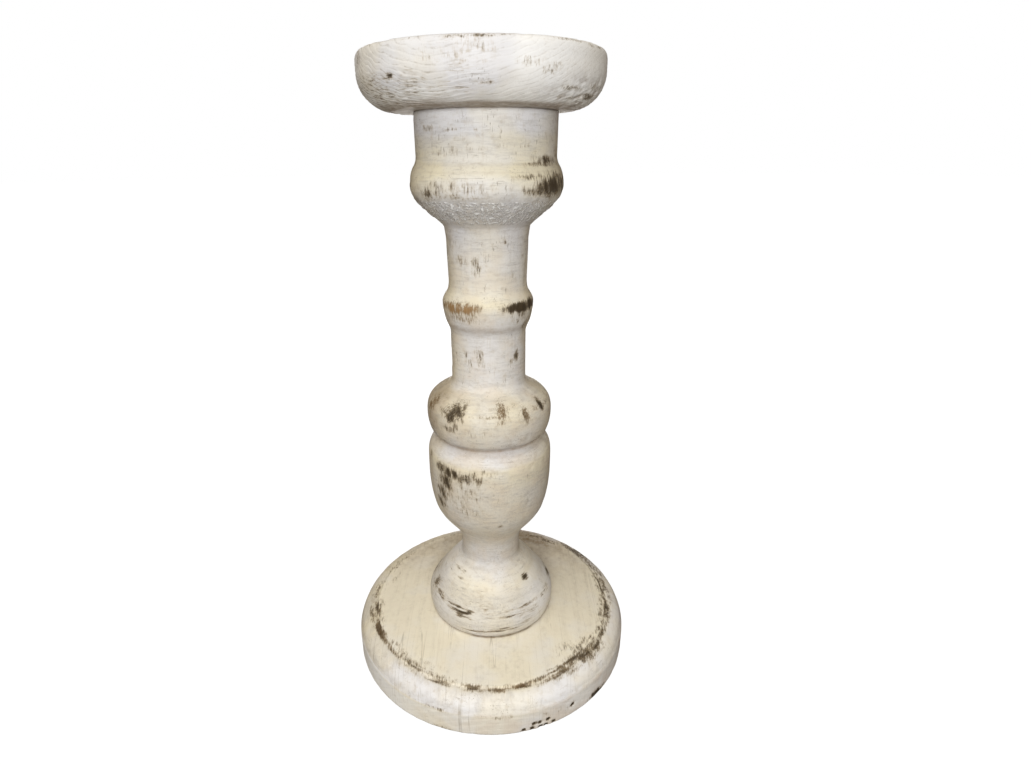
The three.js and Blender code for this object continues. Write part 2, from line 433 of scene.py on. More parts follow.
class Paint(Shader):
    """Chalk paint over pine, with the attributes and patterns that its layers share.

    The mesh gives rub (how far the paint is rubbed through), tan (where the wood under it is
    tan, not dark), soil (dirt in hollows, and painted shade in creases, under overhangs and on
    sides turned from the light), tone (0 cool to 1 cream), shade (1 thin and grey, -1 fresh chalk,
    and in places painted shade and painted light), blush (how far the coat turns pinkish), lay (1
    where scratches run around the piece, not up it) and, for boards, rings (distance from the
    pith) and grain (how clearly they show).
    """

    def __init__(self, name):
        super().__init__(name)
        self.rub = self.attribute("rub")
        self.shade = self.attribute("shade")
        self.mottle = self.noise(3.0, 5, 0.6)
        self.speckle = self.noise(0.9, 4, 0.65)
        self.pebble = self.noise(1.15, 3, 0.55)
        self.crust = self.remap(self.shade, 0.78, 0.84)


def coat_colour(s, stroke, fibre):
    """Cream and cool white patches, grey where thin, chalky where thick; with painted shade and
    light.
    """
    cloud = s.remap(s.noise(22, 3), 0.32, 0.68, -0.28, 0.28)
    warmth = s.plus(s.attribute("tone"), cloud, clamp=True)
    colour = s.mix(warmth, COOL_PAINT, WARM_PAINT)
    # a high shade greys the coat: thin paint, and in places painted shade
    greying = s.times(s.times(s.shade, 0.58), s.remap(s.crust, 0, 1, 1, 0.6))
    washed = s.plus(s.remap(stroke, 0.42, 0.7, 0, 0.37), greying, clamp=True)
    washed = s.times(washed, s.remap(s.speckle, 0.3, 0.7, 0.6, 1))
    colour = s.mix(washed, colour, GREY_WASH_AND_SHADE)
    # a shade below -0.4 turns the coat chalk white: fresh chalk, and in places painted light
    colour = s.mix(s.remap(s.shade, -0.4, -1, 0, 0.8), colour, CHALK_AND_PAINTED_LIGHT)
    pink_patches = s.remap(s.noise(11, 4, 0.6), 0.4, 0.65, 0.15, 0.8)
    colour = s.mix(s.times(pink_patches, s.attribute("blush")), colour, PINK_WASH)
    uneven = s.remap(s.shade, -0.5, -0.1, 0.35, 1)
    blotch = s.times(s.remap(s.mottle, 0.52, 0.74, 0, 0.32), uneven)
    colour = s.mix(blotch, colour, THIN_PAINT)
    return s.mix(s.remap(fibre, 0.56, 0.78, 0, 0.25), colour, THIN_PAINT)


def growth_rings(s, colour, spacing):
    """Darker lines and dashes where a board's rings show, with painted shade in the ring valleys."""
    phase = s.math("FRACT", s.math("DIVIDE", s.attribute("rings"), spacing))
    line = s.plus(s.remap(phase, 0, 0.25, 1, 0), s.remap(phase, 0.86, 1), clamp=True)
    line = s.times(line, s.attribute("grain"))
    line = s.times(line, s.remap(s.mottle, 0.35, 0.6, 0.15, 1))
    # the lines sit in the valleys between the ridges: grain, and painted shade in the valleys
    colour = s.mix(s.times(line, 0.75), colour, RING_LINE)
    dashes = s.times(line, s.remap(s.noise(2.2, 3), 0.5, 0.62, 0, 0.75))
    return s.mix(dashes, colour, WORN_GREY)


def drying_cracks(s, colour, size):
    """Cracks as thin as a hair, along the lines where a smooth noise passes its middle."""
    off_line = s.math("ABSOLUTE", s.minus(s.noise(size, 0), 0.5))
    crack = s.remap(off_line, 0.002, 0.012, 1, 0)
    crack = s.times(crack, s.remap(s.noise(14, 2), 0.4, 0.6))
    return s.mix(s.times(crack, 0.35), colour, WORN_GREY)


def hairlines(s):
    """Clusters of hairlines left by the brush and by handling, with fewer on fresh chalk."""
    cluster = s.remap(s.noise(8, 3), 0.45, 0.62)
    cluster = s.times(cluster, s.remap(s.shade, -0.6, -0.1, 0.25, 1))
    around = s.remap(s.noise((7, 7, 0.45), 3, 0.5, 0.8), 0.6, 0.72, 0, 0.7)
    upright = s.remap(s.noise((0.45, 0.45, 2.4), 2, 0.5, 0.6), 0.62, 0.72)
    return s.times(s.math("MAXIMUM", around, upright), cluster)


def paint_specks(s, colour):
    """Dark pores and light specks on the rough crust: painted shade in pores, painted glints on
    bumps.
    """
    pores = s.times(s.crust, s.remap(s.pebble, 0.5, 0.4))
    colour = s.mix(s.times(pores, 0.15), colour, THIN_PAINT)
    specks = s.times(s.crust, s.remap(s.pebble, 0.54, 0.6))
    return s.mix(s.times(specks, 0.9), colour, CHALK_AND_PAINTED_LIGHT)


def dirt(s, colour):
    """Dirt in the hollows, and painted shade in creases and on far sides, with a mottled edge."""
    amount = s.times(s.attribute("soil_and_shade"), s.remap(s.mottle, 0.3, 0.65, 0.65, 1))
    return s.mix(s.times(amount, 0.85), colour, DIRT_AND_SHADE)


def wear_pattern(s, hatch_size):
    """The rubbing broken up by scratches: past about 0.4 the wood begins to show."""
    upright, lying = s.noise(hatch_size, 5, 0.7), s.noise((5, 5, 0.5), 4, 0.6)
    lean = s.times(s.attribute("lay"), s.minus(lying, upright))
    scratch = s.times(s.minus(s.plus(upright, lean), 0.5), 2.4)
    scratch = s.plus(scratch, s.times(s.minus(s.mottle, 0.5), 0.9))
    scratch = s.times(scratch, s.remap(s.rub, 0, 0.3, 0.1, 1))
    return s.plus(s.rub, scratch)


def bare_wood(s):
    """Old wood, dark or greyed with dirt, and tan where it is rubbed fresh."""
    greyed = s.remap(s.speckle, 0.38, 0.6)
    greyed = s.times(greyed, s.remap(s.rub, 0.8, 1.2, 1, 0.05))
    old = s.mix(greyed, WORN_DARK, WORN_GREY)
    return s.mix(s.times(s.attribute("tan"), 0.85), old, WORN_TAN)


def fine_relief(s, weighted):
    """Height of the crust and of every pattern, each with its weight."""
    total = s.times(s.crust, s.remap(s.pebble, 0.46, 0.64, 0, 1.3))
    for pattern, weight in weighted:
        total = s.plus(total, s.times(pattern, weight))
    return total


def painted_wood(name, fibre_size, hatch_size, stroke_size, ring_spacing=None, crack_size=None):
    """A painted piece. The sizes say how long its fibres, scratches, strokes and cracks are."""
    s = Paint(name)
    stroke = s.noise(stroke_size, 5, 0.65, 0.4)
    fibre = s.noise(fibre_size, 3, 0.6)
    colour = coat_colour(s, stroke, fibre)
    if ring_spacing:
        colour = growth_rings(s, colour, ring_spacing)
    if crack_size:
        colour = drying_cracks(s, colour, crack_size)
    hairline = hairlines(s)
    colour = s.mix(s.times(hairline, 0.65), colour, WORN_GREY)
    colour = dirt(s, paint_specks(s, colour))

    worn = wear_pattern(s, hatch_size)
    colour = s.mix(s.times(s.remap(worn, 0.12, 0.62), 0.42), colour, THIN_PAINT)
    bare = s.times(s.remap(worn, 0.38, 0.95), s.remap(worn, 0.9, 1.5, 0.9, 0.99))
    colour = s.mix(bare, colour, bare_wood(s))

    patterns = (s.mottle, fibre, s.speckle, stroke, bare, hairline)
    height = fine_relief(s, zip(patterns, (0.45, -0.2, 0.25, 0.3, -0.35, -0.25)))
    roughness = s.remap(s.mottle, 0.3, 0.7, 0.56, 0.74)
    return s.finish(colour, roughness, s.bump(height, 0.25), Specular_IOR_Level=0.35)


def beech():
    """Bare, pale hardwood."""
    s = Shader("dowel_beech")
    fibre = s.noise((0.35, 0.35, 6), 4, 0.6)
    colour = s.mix(s.remap(fibre, 0.35, 0.65), display(214, 176, 128), display(188, 146, 100))
    return s.finish(colour, 0.7, s.bump(fibre, 0.12), Specular_IOR_Level=0.3)


def zinc_steel(name):
    """Satin zinc plating, with yellowish stains."""
    s = Shader(name)
    grain = s.noise((2.5, 2.5, 0.2), 4, 0.6)
    stain = s.noise(2.2, 4)
    colour = s.mix(s.remap(stain, 0.4, 0.7), display(206, 205, 196), display(172, 166, 140))
    roughness = s.remap(grain, 0.3, 0.7, 0.28, 0.46)
    return s.finish(colour, roughness, s.bump(grain, 0.02), Metallic=1.0)


def felt(name):
    """Dense brown felt with a matted, hairy face."""
    s = Shader(name)
    hair = s.noise(0.35, 5, 0.75, 1.2)
    blotch = s.noise(4, 2)
    colour = s.mix(s.remap(hair, 0.35, 0.65), display(84, 70, 55), display(128, 110, 90))
    colour = s.mix(s.remap(blotch, 0.4, 0.7, 0, 0.3), colour, display(70, 58, 46))
    return s.finish(colour, 0.95, s.bump(hair, 0.35), Sheen_Weight=0.5, Specular_IOR_Level=0.2)


# ------------------------------------ base board

def base_outline():
    """Band, quirk, ovolo, flat top, and the mortise, screw hole and counterbore inside."""
    recess = box_mm("base_washer")[1][2]
    bottom, quirk, hole, counterbore = base_low[2], 0.7, SCREW_HOLE_RADIUS, 8.0
    mortise, mortise_floor = TENON_RADIUS + GAP, spindle_low[2] - GAP
    outline = Outline(hole, recess)
    outline.line(counterbore, recess).line(counterbore, bottom)
    outline.line(BASE_RADIUS - 1, bottom).bend((BASE_RADIUS, bottom), (BASE_RADIUS, bottom + 1))
    outline.line(BASE_RADIUS, BAND_TOP - 0.8)
    outline.bend((BASE_RADIUS, BAND_TOP), (BASE_RADIUS - quirk, BAND_TOP + quirk / 2))
    ovolo_width = BASE_RADIUS - quirk - ARRIS_RADIUS
    ovolo_height = BASE_TOP - BAND_TOP - 1.5 * quirk
    outline.arc((ARRIS_RADIUS, BAND_TOP + quirk / 2), (ovolo_width, ovolo_height), 0, 90)
    outline.line(ARRIS_RADIUS - quirk, BASE_TOP)
    outline.line(mortise, BASE_TOP).line(mortise, mortise_floor)
    return outline.line(hole, mortise_floor).line(hole, recess)


BASE_RING_SPACING = 3.4
BASE_SCUFFS = [  # azimuth, radius, half widths around and across, strength
    (-94, 68.5, 9, 2.4, 0.65), (-80, 66.6, 9, 3, 0.85), (-67, 66.6, 9, 1.7, 1),
    (-50, 65.4, 9, 3, 0.5), (-38, 65.8, 8, 3, 0.5), (-23, 66, 7, 2.2, 0.75),
    (-8, 66.8, 5, 1.6, 0.75), (3, 67, 6, 1.4, 1), (12, 66.8, 6, 1.2, 0.8), (22, 66.8, 7, 1.6, 0.75),
    (32, 66, 7, 2.6, 0.9), (40, 65.2, 6, 2.6, 0.85), (47, 66.4, 6, 3.6, 0.95),
    (55, 66.8, 5, 3.4, 0.95), (50, 61.5, 6, 2.6, 0.5), (37, 69.5, 5, 1.4, 0.6),
    (66, 66.6, 7, 2, 0.75), (80, 66.2, 10, 2.8, 0.9), (96, 67.2, 10, 2.8, 0.85),
    (112, 69.5, 9, 2.4, 0.75), (128, 70, 12, 3, 0.8), (148, 65.5, 12, 2.8, 0.65),
    (-120, 66.5, 12, 2.2, 0.5), (-107, 61, 5, 1.2, 0.5), (42, 56, 8, 3, 0.25),
    (-30, 62, 9, 3, 0.25),
]
BAND_SCUFFS = [  # azimuth, level, half widths around and across, strength
    (45, 3, 3.4, 1.8, 1.8), (49, 2.6, 3, 1.6, 1), (26, 8.5, 12, 2.5, 0.28),
    (-18, 2.5, 9, 0.8, 0.45), (-45, 2.5, 9, 0.8, 0.4), (3, 12.5, 7, 0.9, 0.35),
    (-21, 13.8, 5, 0.9, 0.5), (-33, 13.8, 4, 0.7, 0.4),
]


def end_grain_pits():
    """Rows of small open pits in the end grain at the front right of the band."""
    rng = np.random.default_rng(12)
    return [
        (azimuth + rng.normal(0, 0.4), level + rng.normal(0, 0.2), 0.75, 0.75, 2.0)
        for level, start, stop in ((2.7, 12, 27), (5.4, 16, 23), (7.8, 32, 35))
        for azimuth in np.arange(start, stop, 3.0)
    ]


def base_rub(t, outside, on_band, pits):
    """The worn edges of the top and the bottom, and the scuffs and pits between them."""
    worn = band(t.radius, ARRIS_RADIUS - 0.3, 1.8) * (t.level > BASE_TOP - 4)
    worn *= 0.3 + 0.4 * fractal(t.points, 16, 3, 11)
    mould = scuffs(t, t.radius, BASE_SCUFFS, streak=(8.0, 1.0), slant=0.0) * (t.level > BASE_TOP - 5)
    low_edge = band(t.level, base_low[2], 1.0) * outside
    low_edge *= 0.2 + 0.5 * fractal(t.points, 12, 3, 13)
    on_side = scuffs(t, t.level, BAND_SCUFFS) * on_band
    return strongest(mould, np.clip(worn, 0, 1), on_side, pits, np.clip(low_edge, 0, 0.8))


def base_coat(t, top, on_band, outside, quirk):
    """Soil, tone, shade and blush: chalky cream top, stained far side with painted shadow, cooler
    band.
    """
    aside = np.abs(t.azimuth)
    joint = band(t.radius, FOOT_RADIUS + 0.2, 0.6) * top
    gap = smoothstep(-28, -14, t.azimuth) * smoothstep(46, 34, t.azimuth)
    # stain and painted shadow: darker to the sides and back, and behind the stem where its shadow
    # falls
    stain_and_shade = 0.1 * smoothstep(30, 80, aside) + 0.28 * smoothstep(90, 150, aside)
    stain_and_shade += 0.16 * t.sector(145, 172) * smoothstep(32, 45, t.radius)
    stain_and_shade *= top * smoothstep(68, 60, t.radius)
    # the far rim darker: stain and painted shadow
    far_rim = 0.34 * smoothstep(95, 140, aside) + 0.45 * t.sector(152, 170, 12)
    far_rim *= smoothstep(54, 64, t.radius) * ~on_band
    # dirt in the joint, and a little painted shade in the quirk
    soil_and_shade = np.clip(0.06 * quirk + joint * (0.35 + 0.65 * gap) + stain_and_shade + far_rim, 0, 1)

    mould = ~top & ~on_band
    # the left of the moulding warmer and greyer: dirt and painted shade
    left_mould = t.sector(-150, -60, 25) * mould
    tone = np.interp(t.radius, (34, 58, 66, 70), (0.7, 0.8, 0.75, 0.25))
    tone += 0.25 * smoothstep(30, 80, aside) * top
    # the band warmer on the left: painted warm light
    band_tone = 0.42 + 0.4 * t.sector(-150, -25, 20)
    tone = np.where(on_band & (t.level < BAND_TOP + 0.1), band_tone, tone)
    tone = np.maximum(tone, 0.9 * left_mould)
    # the band set chalky as painted light; the top a clean, chalky coat
    shade = np.where(top, -0.6, np.where(on_band, -0.55, 0.1)) + 0.3 * left_mould
    # the band's sides and the right of the moulding lighter: painted light
    shade -= 0.45 * smoothstep(15, 50, aside) * on_band + 0.4 * t.sector(25, 150, 20) * mould
    # greyer just under the moulding: painted shade in the step
    shade += 0.4 * band(t.level, BAND_TOP + 0.3, 1.0) * outside
    blush = np.where(on_band, 0.2 + 0.3 * smoothstep(-30, 25, t.azimuth), 0.08)
    return dict(soil_and_shade=soil_and_shade, tone=tone, shade=shade, blush=blush)


def base_relief(t, outside, rings, rub, pits, quirk):
    """Carving: ring ridges, fibres, end grain, wear, chips and pits."""
    p = t.points
    end_grain = np.abs(t.out[:, 1]) * (1 - t.steep)
    relief = 0.14 * noise(p, 45, 14)
    relief += 0.07 * (ridge(rings, BASE_RING_SPACING) - 0.5) * outside
    relief -= 0.07 * smoothstep(0.2, 0.8, noise(p, (1.4, 30, 1.4), 15)) * outside
    relief += 0.08 * fractal(p, 2.2, 2, 16) * end_grain
    relief -= (0.16 + 0.2 * smoothstep(0, 0.8, noise(p, 3, 17))) * np.minimum(rub, 1)
    chips = smoothstep(0.35, 0.75, noise(p, 4.5, 18)) * (t.level > BASE_TOP - 4)
    relief -= 0.5 * chips * band(t.radius, ARRIS_RADIUS - 0.2, 1.0)
    relief += 0.45 * quirk - 0.16 * pits
    relief *= smoothstep(TENON_RADIUS + 0.5, TENON_RADIUS + 3, t.radius)
    return relief * np.where(t.level <= base_low[2] + 0.01, 0.25, 1)


def base_board():
    """The base, with its grain running from front to back."""
    visible = lambda p: np.where((p[:, 1] > base_low[2] + 0.1) & (p[:, 0] > 30), 1.0, 0.22)
    t = Turning(base_outline(), 170, 560, visible)
    top = (t.level > BASE_TOP - 0.01) & (t.radius > 20)
    outside = t.radius > 30
    on_band = outside & (t.level < BAND_TOP + 1)
    quirk = band(t.level, BAND_TOP + 0.6, 0.7) * outside
    pits = scuffs(t, t.level, end_grain_pits(), slant=0.0, depth=0.1) * on_band
    rub = base_rub(t, outside, on_band, pits)
    tan = 0.2 * scuffs(t, t.radius, ((10, 66.8, 26, 3, 1.0), (-66, 66.4, 12, 4, 1.0)))
    coat = base_coat(t, top, on_band, outside, quirk)
    rings = pith_distance(t.points, (6, 0, -62), (0.03, 1, 0.01))
    t.carve(base_relief(t, outside, rings, rub, pits, quirk))
    paint = painted_wood(
        "base_paint", (0.8, 30, 8), (0.9, 3.5, 3), (4, 16, 6), BASE_RING_SPACING, (3.4, 220, 90)
    )
    piece = t.build("base_board", paint, rub=rub, tan=tan, rings=rings, grain=0.1 * outside, **coat)
    return piece, "base_disc", "painted_base"


# ------------------------------------ spindle

def spindle_outline():
    """Tenon, ball, neck, cup, groove, knob, neck, bead, neck, bulb, drum; holes at both ends."""
    dowel_low, dowel_high = box_mm("plate_dowel")
    dowel_hole, hole_floor = dowel_high[0] + GAP, dowel_low[2] - GAP
    pilot, pilot_end = SCREW_HOLE_RADIUS, box_mm("base_screw")[1][2] + GAP
    ball, cup, knob, bulb, drum = 35.2, 32.2, 31.8, 34.95, 31.8
    neck_low, neck_middle = 16.0, 18.5
    o = Outline(0, pilot_end)
    o.line(pilot, pilot_end - 2).line(pilot, spindle_low[2]).line(TENON_RADIUS, spindle_low[2])
    o.line(TENON_RADIUS, BASE_TOP).line(FOOT_RADIUS, BASE_TOP)
    o.bend((ball, 25.5), (ball, 30))
    o.bend((ball, 35.5), (31.6, 38.5), (28, 43.2))
    o.bend((24.5, 47.9), (21.6, 52.8), (neck_low + 1, 54.6))
    o.bend((neck_low, 55.2), (neck_low, 57)).line(neck_low, 66)
    o.bend((neck_low + 1.2, 71), (20.4, 75.6))
    o.bend((23.2, 79.4), (28.6, 84.6), (30.1, 92))
    o.bend((31.3, 96.5), (cup, 103), (cup, 112)).line(cup, 118.5)
    o.bend((cup, 124), (29.8, 127)).line(27.2, 128.6)
    o.bend((26.6, 129.6), (27.2, 130.8)).line(29.8, 132.9)
    o.bend((31.4, 136.5), (knob, 139.5), (knob, 143.4))
    o.bend((knob, 150.3), (28.5, 152.8), (22, 155.7))
    o.bend((neck_middle, 157.4), (neck_middle, 161)).line(neck_middle, 184.5)
    o.bend((18.8, 186.5), (20.3, 189.6))
    o.bend((21.9, 194), (22.1, 199.6))
    o.bend((21.6, 201.6), (19.6, 204.4))
    o.bend((18.7, 206.4), (18.7, 210))
    o.bend((19.1, 218), (19.3, 229)).line(20.1, 234.6)
    o.bend((24, 239.3), (bulb, 245.2), (bulb, 252.4))
    o.bend((bulb, 257.0), (32.9, 260.5))
    o.bend((31.6, 262.2), (31.6, 265)).line(drum, SPINDLE_TOP - 0.6)
    o.line(drum - 0.6, SPINDLE_TOP).line(dowel_hole, SPINDLE_TOP)
    return o.line(dowel_hole, hole_floor).line(0, hole_floor)


SPINDLE_SCUFFS = [  # azimuth, level, half widths around and across, strength
    # drum
    (-49, 275.5, 4, 1, 0.5), (-24, 274.8, 4, 0.6, 0.5), (-6, 274.6, 1, 0.6, 0.5),
    (11, 273.8, 0.7, 1.4, 0.5), (-38, 266, 9, 0.9, 0.5), (-12, 267.5, 9, 0.7, 0.4),
    (20, 268.5, 8, 0.6, 0.35), (56, 263.2, 7, 1.4, 0.85), (46, 261.4, 7, 0.6, 0.85),
    (71, 264, 4, 2, 0.6),
    # bulb
    (42, 251.4, 5, 2.4, 0.9), (57, 252.8, 8, 3.6, 1.35), (76, 253, 6, 3.5, 1.1),
    (30, 251, 4, 1.4, 0.45), (37, 256.8, 7, 0.9, 0.8), (-47, 250, 3, 2, 0.8),
    (-33, 252.6, 6, 2.6, 0.42), (-14, 252, 7, 2.6, 0.4), (-24, 248.8, 12, 1.2, 0.35),
    (48, 246.5, 8, 1.6, 0.4),
    # upper neck
    (-39, 220.5, 2.6, 2, 0.68), (-16, 218, 2.2, 3.4, 0.6), (40, 212, 4, 2, 0.36),
    (25, 228.8, 0.6, 0.6, 0.7), (58, 222, 0.8, 0.8, 0.7), (35, 212.8, 0.6, 0.8, 0.6),
    # bead
    (-63, 198.6, 4, 1.2, 0.6), (29, 199.6, 3, 0.9, 1.2), (44, 199.2, 6, 1.7, 1.9),
    (62, 199, 5, 2, 1.9), (80, 199.6, 4, 1, 1), (59, 189.5, 1.4, 2, 0.6), (-45, 195.5, 5, 3, 0.42),
    (46, 195.6, 5, 3, 0.5), (70, 193.5, 3, 3, 0.5),
    # middle neck
    (-58, 175, 0.8, 1, 0.6), (-36, 176, 0.8, 1.2, 0.6), (-14, 176.3, 2.4, 3, 0.5),
    (47, 174.4, 1.2, 2.2, 1.1), (36, 172.4, 0.8, 1, 0.8), (-20, 172, 5, 1.5, 0.38),
    # knob
    (-67, 150, 3, 3, 1.1), (-62, 144, 4, 3, 0.5), (-33, 149, 3.6, 3.4, 1.2),
    (-25, 151.2, 1.4, 2.6, 0.8), (-44, 150, 3.5, 2, 0.6), (13, 150.2, 2.4, 3.8, 0.72),
    (34, 148.8, 2.6, 3.2, 0.74), (58, 150.2, 1.5, 2, 1.2), (48, 150, 4, 1, 0.45),
    (-3, 149.7, 6, 0.6, 0.5), (-38, 141.6, 5, 1.6, 0.72), (-31, 144, 2, 2.6, 0.7),
    (-10, 141, 8, 2, 0.3), (20, 153, 8, 0.8, 0.35),
    # cup
    (-70, 120.4, 2, 2.5, 0.7), (-49, 118.6, 3, 2.2, 1.15), (-37, 117.6, 5, 2.4, 1.15),
    (-22, 116.8, 4, 2.6, 0.85), (-10, 116.5, 2.4, 2.8, 0.6), (-44, 112, 4, 4, 1),
    (-48, 105, 4, 4.5, 1), (-51, 98, 3.4, 3.4, 0.95), (-24, 107, 8, 11, 0.4), (-20, 99, 8, 5, 0.36),
    (-12, 120, 0.8, 2, 0.7), (-5, 121.8, 0.8, 0.8, 0.7), (-23, 96.8, 0.6, 0.6, 0.7),
    (-13, 96.7, 0.6, 0.6, 0.7), (11, 88.5, 1.5, 0.8, 0.65),
]
BALL_SCUFFS = [  # the same, at the foot of the spindle, where the strokes run around it
    (-55, 51.5, 5, 0.6, 0.55), (-50, 48.5, 6, 0.5, 0.42), (-74, 38.5, 3, 2.2, 0.9),
    (-62, 37.4, 3, 1, 0.8), (-52, 36.9, 4, 0.5, 0.7), (-38, 37.4, 6, 0.45, 1.2),
    (-31, 35.5, 6, 0.5, 1.4), (-25, 33.7, 4, 0.45, 1.3), (-19, 36.8, 2, 0.5, 1.2),
    (-9, 39, 4, 2.5, 0.34), (-14, 45, 4, 2, 0.25), (50, 47.5, 1.8, 1, 1.4), (14, 35, 9, 0.4, 0.75),
    (34, 37.4, 10, 0.45, 0.95), (37, 34.4, 7, 1.2, 0.45), (-14, 26, 9, 0.45, 0.7),
    (4, 27, 9, 0.45, 0.8), (22, 28.4, 9, 0.45, 0.75), (40, 29.4, 6, 0.45, 0.5),
]
SPINDLE_ARRISES = (36.7, 120.0, 150.0, 199.6, 252.0)  # levels where handling wears the paint
SPINDLE_TAN_SCUFFS = [  # scuffs that show tan wood
    (-66, 198.8, 4, 2, 1), (-50, 198.6, 5, 2.4, 1), (-34, 198.8, 6, 2.2, 1.05),
    (-18, 199.4, 4, 1.8, 0.8), (-34, 195, 9, 2.6, 0.5), (-67, 149.8, 3, 3, 0.5),
    (12, 150.6, 2.4, 3.4, 0.3), (34, 149, 2.4, 3, 0.2), (-84, 252, 6, 4, 0.7),
    (-35, 220, 2, 2, 0.4),
]
SPINDLE_SOIL_AND_SHADE = (  # level, width and strength of the dirt and painted shade in the creases
    (22, 0.6, 0.6), (130.3, 1.1, 0.7), (188.5, 1.6, 0.35), (258.6, 0.4, 0.16), (261.6, 0.6, 0.14),
    (282.7, 0.5, 0.5),
)
# partly painted shade and light: greyer in the groove, round the cup and under the bulb, lighter on
# the ball
SPINDLE_PAINT = (  # level, tone (0 cool to 1 cream) and shade (-1 fresh chalk to 1 thin and grey, partly painted)
    (22, 0.35, 0.74), (34, 0.4, 0.68), (42, 0.45, 0.72), (48, 0.5, -0.2), (53, 0.4, 0),
    (60, 0.35, 0.68), (80, 0.6, 0.76), (112, 0.75, 0.72), (118, 0.9, 0.45), (121, 1, 0.1),
    (124, 0.3, 0.15), (128, 0.1, 0.5), (134, 0.6, 0.68), (145, 0.75, 0.55), (152, 0.85, 0.28),
    (158, 0.4, 0.15), (176, 0.3, 0.15), (187, 0.4, 0.4), (194, 0.45, 0.4), (198, 0.7, 0.1),
    (201, 1, -0.2), (208, 0.6, 0), (220, 0.5, 0.2), (232, 0.25, 0.4), (238, 0.1, 0.9),
    (246, 0.1, 0.9), (248.5, 0.3, 0.6), (251, 0.4, 0.25), (255, 0.55, 0.05), (258, 1, -0.2),
    (260.5, 1, -0.15), (262.5, 0.7, -0.1), (267, 0.75, 0.1), (271, 0.6, 0.2), (275, 0.1, 0.12),
    (282, 0, 0),
)


def spindle_rub(t, outside, tan):
    """The placed scuffs, seeded ones on the far side, and patchy wear along every arris."""
    table = SPINDLE_SCUFFS + seeded_scuffs(5, 46, SPINDLE_ARRISES, 6, 0.95)
    at_foot = scuffs(t, t.level, BALL_SCUFFS, streak=(7.0, 1.5), slant=0.0)
    patchy = np.clip(0.18 + 0.5 * fractal(t.points, 13, 3, 21), 0, 0.7)
    arrises = [band(t.level, arris, 1.4) * patchy for arris in SPINDLE_ARRISES]
    return strongest(np.maximum(scuffs(t, t.level, table), at_foot) * outside, tan, *arrises)


def spindle_coat(t, seam):
    """Soil, tone, shade and blush, mostly by level, with painted shade where the stem turns away."""
    left, right = t.sector(-150, -75, 30), t.sector(75, 150, 30)
    stem = t.fade(85, 100) * t.fade(264, 256)
    # the knob's left: a stain with painted brown shade
    stain_and_shade = t.fade(130, 136) * t.fade(158, 154) * t.sector(-150, -62, 25)
    creases = [strength * band(t.level, level, width) for level, width, strength in SPINDLE_SOIL_AND_SHADE]
    # the left side, turned from the light: painted brown shade, stronger on the bulb
    sides = stem * ((0.16 + 0.14 * t.fade(236, 246)) * left + 0.4 * stain_and_shade)
    at_seam = 0.95 * seam * band(t.level, BASE_TOP + 0.2, 0.5)
    # dirt and painted shade in the creases, painted shade on the drum's right, dirt in the seam
    soil_and_shade = strongest(*creases, sides, 0.3 * right * t.fade(248, 256), at_seam)
    levels, tones, shades = zip(*SPINDLE_PAINT)
    # warmer on both sides: painted warm shade
    tone = np.interp(t.level, levels, tones) + 0.5 * stain_and_shade + 0.35 * stem * (left + right)
    shade = np.interp(t.level, levels, shades) + 0.2 * stain_and_shade
    # the ball's right side chalkier: painted light
    shade -= 0.9 * t.sector(55, 150, 25) * t.fade(52, 44)
    blush = np.interp(t.level, (40, 60, 130, 200, 232, 250), (0.02, 0.25, 0.3, 0.3, 0.15, 0.0))
    return dict(soil_and_shade=soil_and_shade, tone=tone, shade=shade, blush=blush)


def spindle_relief(t, rub):
    """Carving: tool marks, fibres, end grain, a crust, dents and chips."""
    p = t.points
    relief = 0.12 * noise(p, 45, 22)
    relief += 0.03 * noise(p, (70, 70, 3), 23)
    relief -= 0.05 * smoothstep(0.2, 0.8, noise(p, (1.2, 1.2, 26), 24)) * (1 - t.steep)
    relief += 0.14 * t.steep * fractal(p, 2.4, 2, 25)
    under_bulb = t.fade(237, 240) * t.fade(251, 247)
    relief += 0.32 * under_bulb * smoothstep(-0.1, 0.6, noise(p, 1.9, 29))
    relief -= 0.22 * smoothstep(0.5, 0.9, noise(p, 6, 26))
    relief -= (0.14 + 0.2 * smoothstep(0, 0.8, noise(p, 2.5, 27))) * rub
    chips = smoothstep(0.4, 0.8, noise(p, 4, 28))
    for arris in SPINDLE_ARRISES:
        relief -= 0.3 * chips * band(t.level, arris, 0.9)
    return relief


def spindle():
    """The spindle and its tenon, with upright grain."""
    visible = lambda p: np.where((p[:, 0] > 15.5) & (p[:, 1] > BASE_TOP + 0.01), 1.0, 0.15)
    t = Turning(spindle_outline(), 350, 280, visible)
    outside = t.radius > 15
    seam = 0.2 + 0.8 * smoothstep(-0.1, 0.2, noise(t.points, 4, 30))
    seam *= t.sector(-16, 34, 8)
    tan = scuffs(t, t.level, SPINDLE_TAN_SCUFFS, depth=0.45) * outside
    rub = spindle_rub(t, outside, tan)
    coat = spindle_coat(t, seam)
    held = (t.level <= BASE_TOP + 0.01) | (t.level > SPINDLE_TOP - 0.7) | ~outside
    foot = (t.level <= BASE_TOP + 0.5) & (t.radius > 31)
    t.carve(np.where(held, 0, spindle_relief(t, rub)))
    t.points[:, 2] += 0.5 * seam * foot
    paint = painted_wood("spindle_paint", (0.6, 0.6, 11), (0.7, 0.7, 4.5), (7, 7, 1.4))
    piece = t.build("turned_spindle", paint, rub=rub, tan=tan, lay=t.fade(58, 52), **coat)
    return piece, "stem_spindle", "painted_spindle"


# ------------------------------------ candle plate

